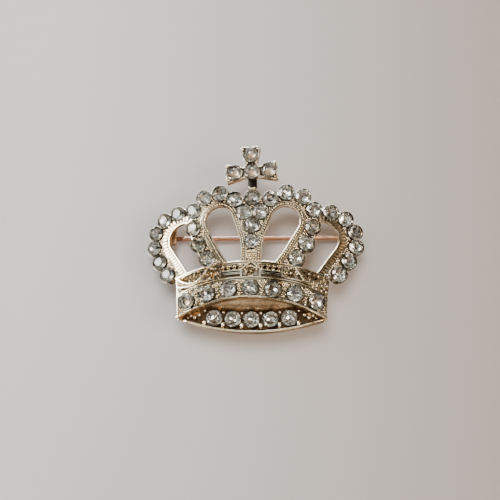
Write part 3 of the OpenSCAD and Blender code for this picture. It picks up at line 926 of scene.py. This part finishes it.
def field(shape, pitch, h, r, box, fits):
    """Close rows of grains in a box, wherever fits(x, z) is true."""
    x0, z0, x1, z1 = box
    for j in range(int((z1 - z0) / (ROW_STEP * pitch))):
        for i in range(int((x1 - x0) / pitch)):
            x = x0 + (i + 0.5 * (j % 2)) * pitch + random.uniform(-0.05, 0.05)
            z = z0 + ROW_STEP * j * pitch + random.uniform(-0.05, 0.05)
            if fits(x, z):
                shape.bead(dome, x, z, h, r * random.uniform(0.85, 1.12), 1.25)


def clear_of(x, z, rings):
    """Whether a place lies outside every ring, given as (x, z, radius)."""
    return all(math.hypot(x - a, z - b) > r for a, b, r in rings)


def on_band_floor(x, z):
    """Whether a grain fits on the band, between its wires and clear of its stones."""
    low = over(BAND_LOW_C, BAND_LOW_R, x) + 0.85
    high = over(MIDLINE_C, MIDLINE_R, x) - dip(x) - 0.65
    return abs(x) < 14.7 and low < z < high and clear_of(x, z, band_rims)


def on_crescent(x, z):
    """Whether a grain fits on the crescent, inside of its leaves and clear of its slots and wires."""
    low = over(MIDLINE_C, MIDLINE_R, x) - dip(x)
    high = over(BAND_C, BAND_TOP_R, x) - 0.6
    if abs(x) >= 9.3 or SLOTS_FROM_X < abs(x) < SLOTS_TO_X and z < low + 1.5:
        return False
    return low + 0.3 < z < high and clear_of(x, z, wired)


field(filigree, 0.44, 0.08, 0.19, (-14.8, 0, 14.8, 8), on_band_floor)
field(filigree, 0.46, 0.0, 0.18, (-14.6, 4, 14.6, 11), on_crescent)
filigree.piece("casting_filigree", [POLISHED], *CASTING)
hole_shades.piece("casting_hollows", [DEEP_SHADE], *CASTING)


# ---------------------------------------------------------------- grains on the post and ribs

grains = Shape()
for z in (11.75, 12.45, 13.1):
    grains.tube(dome, evenly([(-1.0, z), (0, z), (1.0, z)], 0.4), 0.05, 0.13)
arch_rims = [(*xz(n), ARCH_RIM_R * SIZE[n]) for n in ARCHES]
inner_edge = evenly(inner_window, 0.4, True)
outer_edge = evenly(outer_window, 0.4, True)


def on_arches(x, z):
    """Whether a grain fits on the arches' face, clear of the stones and the windows' frames."""
    a = abs(x)
    if z < over(BAND_C, BAND_TOP_R, min(a, 15.6)) + 0.1 or not clear_of(x, z, arch_rims):
        return False
    if not inside((x, z), [outline]) or any(inside((a, z), [w]) for w in (inner_window, outer_window)):
        return False
    if min(math.hypot(a - p, z - q) for p, q in inner_edge) < 1.2:
        return False
    margin = 1.5 if a > RIBBED_FROM_X or z < 11 else 0.42
    return min(math.hypot(a - p, z - q) for p, q in outer_edge) >= margin


field(grains, 0.44, 0.07, 0.2, (-22, 7.5, 22, 26), on_arches)
grains.piece("casting_grains", [POLISHED], *CASTING)

pads = Shape()


def block(shape, lo, hi):
    """A box between two corners."""
    v = [Vector((x, y, z)) for x in (lo[0], hi[0]) for y in (lo[1], hi[1]) for z in (lo[2], hi[2])]
    shape.add(v, [(0, 1, 3, 2), (4, 6, 7, 5), (0, 4, 5, 1), (2, 3, 7, 6), (0, 2, 6, 4), (1, 5, 7, 3)])


block(pads, (-20.3, 5.2, 16.2), (-16.6, 6.5, 19.6))
block(pads, (17.7, 5.2, 16.4), (20.5, 6.5, 19.4))
pads.piece("casting_pads", [INNER_SHADE], *CASTING, edge=0.15)


# ---------------------------------------------------------------- the gallery strip

def gallery_low(x):
    """Height of the strip's lower edge at x."""
    return GALLERY_LOW_C[1] - math.sqrt(GALLERY_LOW_R ** 2 - x * x)


def band_back(x):
    """Depth of the band's back at x."""
    return DOME_R - math.sqrt(BACK_R ** 2 - x * x)


def lip_front(x):
    """Depth of the lip's front at x: level in the middle, and 1 mm before the band's back near
    the ends."""
    return max(LIP_FRONT_Y, band_back(x) - 1.0)


def lip_face(x, z, h):
    """A place on the lip's front."""
    return Vector((x, lip_front(x) - h, z))


strip_low = [(x, gallery_low(x)) for x in spaced(-14.4, 0.72, 41)]
strip_top = [(x, over(BAND_C, GALLERY_TOP_R, x)) for x in spaced(14.4, -0.72, 41)]
lip_low = [(x, gallery_low(x)) for x in spaced(-15, 0.75, 41)]
strip = Shape()
strip.plate(upright(GALLERY_Y), [strip_low + strip_top], 0, -GALLERY_T, 0.7)
strip.piece("gallery_plate", [NICHE_SHADE, INNER_SHADE], *STRIP, edge=0.08)

lip = Shape()
rings = []
for x, z in lip_low:
    front = lip_front(x)
    back = max(GALLERY_Y, front + 0.6)
    high = LIP_T * min(1, (15.4 - abs(x)) / 1.5)
    profile = [(back, z), (front + 0.12, z), (front, z + 0.12), (front, z + 0.72 * high),
               (front + 0.1, z + high), (back, z + high)]
    rings.append([Vector((x, y, up)) for y, up in profile])
lip.loft(rings, 3)
for lift, r in ((0.1, 0.12), (LIP_T - 0.06, 0.1)):
    lip.tube(lip_face, [(x, z + lift) for x, z in lip_low], 0.0, r)
gallery_seats = [SEATS[n] for n in GALLERY]
for m in gallery_seats:
    cup(lip, m, 0.99, 1.09)
pitch = gallery_seats[1].translation.x - gallery_seats[0].translation.x
flat = upright(GALLERY_GIRDLE_Y)
for i in range(-5, 6):
    x = i * pitch / 2
    z = gallery_seats[2].translation.z + x * x / (2 * GALLERY_ROW_R)
    if i % 2:
        m = facing(flat, x, z - 1.35, 0.3) @ Matrix.Diagonal((0.4, 0.64, 0.42, 1))
        prong = [(0, -1), (0.7, -0.7), (1, 0), (0.85, 0.5), (0.5, 0.87), (0, 1)]
        lip.lathe(m, prong, sides=12)
        lip.tube(flat, evenly([(x, z - 1.75), (x, z - 1.1)], 0.2), -0.35, 0.26)
        lip.bead(flat, x, z + 1.2, 0.1, 0.28)
for s in (-1, 1):
    for x, z, r in ((10.6, 0.75, 0.42), (11.5, 0.2, 0.4), (12.3, 0.55, 0.3), (12.9, 0.1, 0.24)):
        lip.bead(upright(3.2), s * x, z - 0.1, 0.1, r)
lip.piece("gallery_lip", WITH_CUPS, *STRIP)

cove = Shape()
rings = []
deepest = GALLERY_Y - 0.02
for x in spaced(-13.2, 0.6, 45):
    back = band_back(x)
    hi = over(BAND_LOW_C, BAND_LOW_R, x)
    lo = min(1.25 + x * x / (2 * GALLERY_ROW_R), hi - 0.9 + 0.03 * abs(x))
    profile = [(back + 0.02, hi + 0.6), (back + 0.1, hi), (back + 0.5, hi - 0.35 * (hi - lo)),
               (min(GALLERY_Y - 0.15, back + 1.2), lo + 0.25 * (hi - lo)),
               (deepest, lo), (deepest, hi + 0.6)]
    rings.append([Vector((x, min(y, deepest), z)) for y, z in profile])
cove.loft(rings)
cove.piece("gallery_cove", [INNER_SHADE], *STRIP)


# ---------------------------------------------------------------- the cross

def arm(turn, length):
    """The outline of one flared arm, turned from upright by an angle in degrees."""
    half = ARM_HALF_W
    pts = [ARM_ROOT, (half, length - 0.35), (half - 0.3, length), (0, length - 0.15),
           (0.3 - half, length), (-half, length - 0.35), (-ARM_ROOT[0], ARM_ROOT[1])]
    c, s = math.cos(math.radians(turn)), math.sin(math.radians(turn))
    return [(p[0] * c - p[1] * s, p[0] * s + p[1] * c) for p in pts]


cross_loop = arm(0, 5.6) + arm(90, 5.3) + arc((0, 0), 1.6, 200, 340, 12) + arm(-90, 5.3)
cross = Shape()
cross_pits = [(x, z, CROSS_PIT_R, CROSS_PIT_R) for x, z in CROSS_AT]
cross.plate(cross_plane, [cross_loop], -0.12, -1.15, 0.45, cross_pits)
cross.plate(cross_plane, [cross_loop], -1.1, -CROSS_T, 0.45)
cross.piece("cross_body", [NICHE_SHADE, INNER_SHADE], *FINIAL, edge=0.1)
cross_trim = Shape()
edge = evenly(offset(cross_loop, -0.1), 0.2, True)
cross_trim.tube(cross_plane, edge, -0.1, 0.13, closed=True, flat=1.5)
cross_trim.tube(cross_plane, edge, -CROSS_T + 0.15, 0.14, closed=True)
for node in CROSS:
    cup(cross_trim, SEATS[node], CROSS_STONE, 0.9)
for x, z in ((-1.55, 5.0), (1.55, 5.0), (-4.75, 1.5), (-4.75, -1.4), (4.75, 1.5), (4.75, -1.4)):
    cross_trim.bead(cross_plane, x, z, -0.02, 0.25)
for x, z in ((-1.3, 1.4), (1.3, 1.4), (-1.4, -1.15), (1.4, -1.15), (-0.85, 2.0), (0.85, 2.0)):
    cross_trim.bead(cross_plane, x, z, 0.0, 0.2)
cross_trim.piece("cross_trim", WITH_CUPS, *FINIAL)


def column(shape, sections, mat):
    """A column down the cross's foot. Each section is (half width, z, front)."""
    rings = []
    for w, z, f in sections:
        ends = ((-w, f - 0.1), (0.12 - w, f), (w - 0.12, f), (w, f - 0.1), (w, 0.1 - CROSS_T),
                (w - 0.12, -CROSS_T), (0.12 - w, -CROSS_T), (-w, 0.1 - CROSS_T))
        rings.append([cross_plane(x, z, h) for x, h in ends])
    shape.loft(rings, mat)


neck = Shape()
shaft = [(0.9, -1.3, -0.45), (0.9, -2.1, -0.5), (0.9, -3.1, -0.5)]
flare = [(0.85, -3.0, -0.4), (0.72, -3.1, 0.1), (0.68, -3.4, 0.6), (0.76, -3.8, 1.1),
         (0.95, -4.2, 1.35), (0.9, -4.4, 1.2)]
# The shaft is painted near-black: painted shade under the cross.
column(neck, shaft, 1)
column(neck, flare, 0)
neck.piece("cross_neck", [POLISHED, NECK_SHADE], *FINIAL)


# ---------------------------------------------------------------- the pin, its hinge and catch

def dress(node, material, edge):
    """A CAD node keeps its shape, and gets its material and softened edges."""
    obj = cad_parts[node]
    obj.data.materials.clear()
    obj.data.materials.append(material)
    soften(obj, edge, 40)


dress("pin_stem", WIRE, 0.04)
dress("hinge_rivet", WIRE, 0.05)
dress("hinge_bracket", INNER_SHADE, 0.05)
dress("catch_housing", INNER_SHADE, 0.05)
dress("catch_rotor", POLISHED, 0.04)


# ---------------------------------------------------------------- stage, light and camera

SHEET_GAP = 0.0003
SHEET_HALF_W = 0.6
SURROUND_R = 1.5


def camera_only(obj):
    """Leaves a stage object to the camera, so that it lights nothing and throws no shadow."""
    obj.visible_glossy = False
    obj.visible_diffuse = False
    obj.visible_transmission = False
    obj.visible_shadow = False


def wall():
    """The pale cloth that the brooch lies on, with painted shade that darkens it towards the right:
    an upright sheet close behind it, seen from the front only, so that the back can be looked at."""
    mesh = bpy.data.meshes.new("backdrop")
    w = SHEET_HALF_W
    y = cad_box[1][1] + SHEET_GAP
    mesh.from_pydata([(-w, y, -w), (w, y, -w), (w, y, w), (-w, y, w)], [], [(0, 1, 2, 3)])
    obj = bpy.data.objects.new("backdrop", mesh)
    bpy.context.collection.objects.link(obj)
    m, nodes, links, bsdf, coords = nodes_of("backdrop_cloth")
    bsdf.inputs["Roughness"].default_value = 0.7
    # Painted shade: the cloth's colour darkens from left to right across 10 cm.
    across = nodes.new("ShaderNodeSeparateXYZ")
    links.new(coords, across.inputs[0])
    shade_spread = nodes.new("ShaderNodeMapRange")
    shade_spread.inputs["From Min"].default_value = -0.05
    shade_spread.inputs["From Max"].default_value = 0.05
    links.new(across.outputs["X"], shade_spread.inputs["Value"])
    tone = ramp(nodes, links, shade_spread.outputs[0], [(0.0, (0.44, 0.425, 0.42)), (1.0, (0.22, 0.19, 0.172))])
    links.new(tone, bsdf.inputs["Base Color"])
    clear = nodes.new("ShaderNodeBsdfTransparent")
    pick = nodes.new("ShaderNodeMixShader")
    side = nodes.new("ShaderNodeNewGeometry")
    links.new(side.outputs["Backfacing"], pick.inputs[0])
    links.new(bsdf.outputs[0], pick.inputs[1])
    links.new(clear.outputs[0], pick.inputs[2])
    links.new(pick.outputs[0], nodes["Material Output"].inputs["Surface"])
    mesh.materials.append(m)
    camera_only(obj)


def surround():
    """A pale shell far round the set, which only the camera sees."""
    bpy.ops.mesh.primitive_uv_sphere_add(segments=48, ring_count=24, radius=SURROUND_R)
    obj = bpy.context.object
    obj.name = "surround"
    bpy.ops.object.shade_smooth()
    m, nodes, links, bsdf, coords = nodes_of("surround_paper")
    clouds = noise(nodes, links, coords, 0.8, 1)
    tone = ramp(nodes, links, clouds, [(0.3, (0.52, 0.50, 0.49)), (0.7, (0.46, 0.44, 0.43))])
    links.new(tone, bsdf.inputs["Base Color"])
    bsdf.inputs["Roughness"].default_value = 0.9
    obj.data.materials.append(m)
    camera_only(obj)


def softbox(name, place, size, watts, colour):
    """A round light that points at the frame's origin, which lies near the brooch's middle."""
    data = bpy.data.lights.new(name, "AREA")
    data.shape = "DISK"
    data.size = size
    data.energy = watts
    data.color = colour
    obj = bpy.data.objects.new(name, data)
    obj.location = place
    obj.rotation_euler = (-Vector(place)).to_track_quat("-Z", "Y").to_euler()
    bpy.context.collection.objects.link(obj)
    return obj


def sky():
    """A studio: cool light up on the left, a warm dim side low on the right, and between them
    many light and dark panels, which the stones and the plating mirror."""
    world = bpy.data.worlds.new("room")
    world.use_nodes = True
    nodes, links = world.node_tree.nodes, world.node_tree.links
    coords = nodes.new("ShaderNodeTexCoord").outputs["Generated"]
    along = nodes.new("ShaderNodeVectorMath")
    along.operation = "DOT_PRODUCT"
    along.inputs[1].default_value = Vector((-0.8, -0.3, 0.45)).normalized()
    links.new(coords, along.inputs[0])
    half = nodes.new("ShaderNodeMath")
    half.operation = "MULTIPLY_ADD"
    half.inputs[1].default_value = 0.5
    half.inputs[2].default_value = 0.5
    links.new(along.outputs["Value"], half.inputs[0])
    stops = [(0.1, (0.42, 0.26, 0.15)), (0.45, (0.56, 0.47, 0.37)), (0.85, (0.80, 0.83, 0.80))]
    shade = ramp(nodes, links, half.outputs[0], stops)
    panels = nodes.new("ShaderNodeTexVoronoi")
    panels.inputs["Scale"].default_value = 9.0
    links.new(coords, panels.inputs["Vector"])
    pick = nodes.new("ShaderNodeSeparateColor")
    links.new(panels.outputs["Color"], pick.inputs[0])
    contrast = ramp(nodes, links, pick.outputs[0], [(0.6, 0.01), (0.63, 1.0)])
    links.new(mix(nodes, links, 1.0, shade, contrast, "MULTIPLY"), nodes["Background"].inputs["Color"])
    nodes["Background"].inputs["Strength"].default_value = 2.2
    bpy.context.scene.world = world


wall()
surround()
sky()
# The window light is for the metal and the stones. The front light is for the cloth, and throws
# the brooch's shadow on it, a little downwards. Places and sizes are in metres.
window = softbox("window", (-0.36, -0.29, 0.21), size=0.28, watts=5.5, colour=(0.99, 1.0, 0.97))
window.visible_diffuse = False
front = softbox("front", (0.015, -0.41, 0.10), size=0.22, watts=3.2, colour=(1.0, 1.0, 0.99))
front.visible_glossy = False
front.visible_transmission = False
softbox("fill", (0.32, -0.30, -0.08), size=0.22, watts=1.8, colour=(1.0, 0.90, 0.80))
softbox("behind", (-0.15, 0.35, 0.25), size=0.3, watts=5.0, colour=(1.0, 0.98, 0.96))

# The camera sees the brooch from 17 cm, a little from the right and from below.
AIM = (Vector((-0.256, 0, 13.27)) - ORIGIN) * MM
AZIMUTH = math.radians(7.07)
ELEVATION = math.radians(-15)
ROLL = math.radians(1.42)
DISTANCE = 170 * MM
LENS_MM = 61.2
SENSOR_MM = 36
level = math.cos(ELEVATION)
back = Vector((math.sin(AZIMUTH) * level, -math.cos(AZIMUTH) * level, math.sin(ELEVATION)))
right = Vector((math.cos(AZIMUTH), math.sin(AZIMUTH), 0))
up = back.cross(right)
across = math.cos(ROLL) * right + math.sin(ROLL) * up
upward = math.cos(ROLL) * up - math.sin(ROLL) * right
camera = bpy.data.objects.new("camera", bpy.data.cameras.new("camera"))
camera.data.lens = LENS_MM
camera.data.sensor_width = SENSOR_MM
camera.data.clip_start = 0.01
turn = Matrix((across, upward, back)).transposed().to_4x4()
camera.matrix_world = Matrix.Translation(AIM + DISTANCE * back) @ turn
bpy.context.collection.objects.link(camera)
bpy.context.scene.camera = camera
